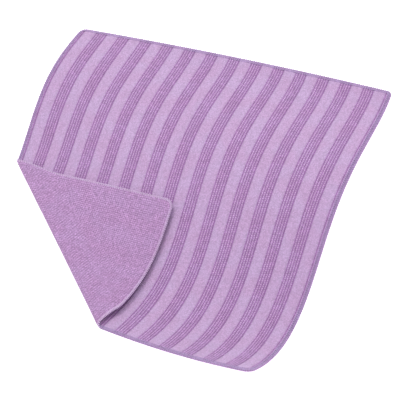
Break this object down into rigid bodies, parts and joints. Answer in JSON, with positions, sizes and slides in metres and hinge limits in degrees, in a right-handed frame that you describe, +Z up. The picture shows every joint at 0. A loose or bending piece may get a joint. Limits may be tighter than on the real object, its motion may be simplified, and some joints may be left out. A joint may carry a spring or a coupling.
{
  "type": "quick dry towel",
  "caption": "Square striped terry cloth with ribbed and smooth bands and an overlocked edge, lying in a soft wave with one corner folded over.",
  "frame": {"origin": "on the surface the cloth lies on, under the middle of its box", "axes": "+Z up from the surface, +X along the cloth's top edge from its left corner to its right corner, +Y towards the top edge, so the stripes run along Y"},
  "size_m": [0.427, 0.3959, 0.0513],
  "materials": {
    "ground_knit": "fine knitted mesh",
    "back_pile": "short matte terry loops",
    "ribbed_pile": "matte terry cut in narrow lengthwise ribs",
    "smooth_pile": "smooth brushed pile with a faint sheen",
    "looper_thread": "textured polyester overlock thread",
    "needle_thread": "spun polyester sewing thread"
  },
  "bodies": {
    "cloth": {"ground_knit": "ground_knit", "back_pile": "back_pile", "ribbed_bands": "ribbed_pile", "smooth_bands": "smooth_pile", "upper_looper_thread": "looper_thread", "lower_looper_thread": "looper_thread", "needle_thread": "needle_thread", "fold_ground_knit": "ground_knit", "fold_back_pile": "back_pile", "fold_ribbed_bands": "ribbed_pile", "fold_smooth_bands": "smooth_pile", "fold_upper_looper_thread": "looper_thread", "fold_lower_looper_thread": "looper_thread", "fold_needle_thread": "needle_thread"},
    "corner": {"corner_ground_knit": "ground_knit", "corner_back_pile": "back_pile", "corner_ribbed_bands": "ribbed_pile", "corner_smooth_bands": "smooth_pile", "corner_upper_looper_thread": "looper_thread", "corner_lower_looper_thread": "looper_thread", "corner_needle_thread": "needle_thread"}
  },
  "joints": [
    {"name": "corner_fold", "type": "hinge", "parent": "cloth", "child": "corner", "pos_m": [-0.0764, -0.1163, 0.0321], "axis": [0.7812, -0.6172, 0.094], "range_deg": [0, 180], "deforming": ["fold_ground_knit", "fold_back_pile", "fold_ribbed_bands", "fold_smooth_bands", "fold_upper_looper_thread", "fold_lower_looper_thread", "fold_needle_thread"]}
  ]
}
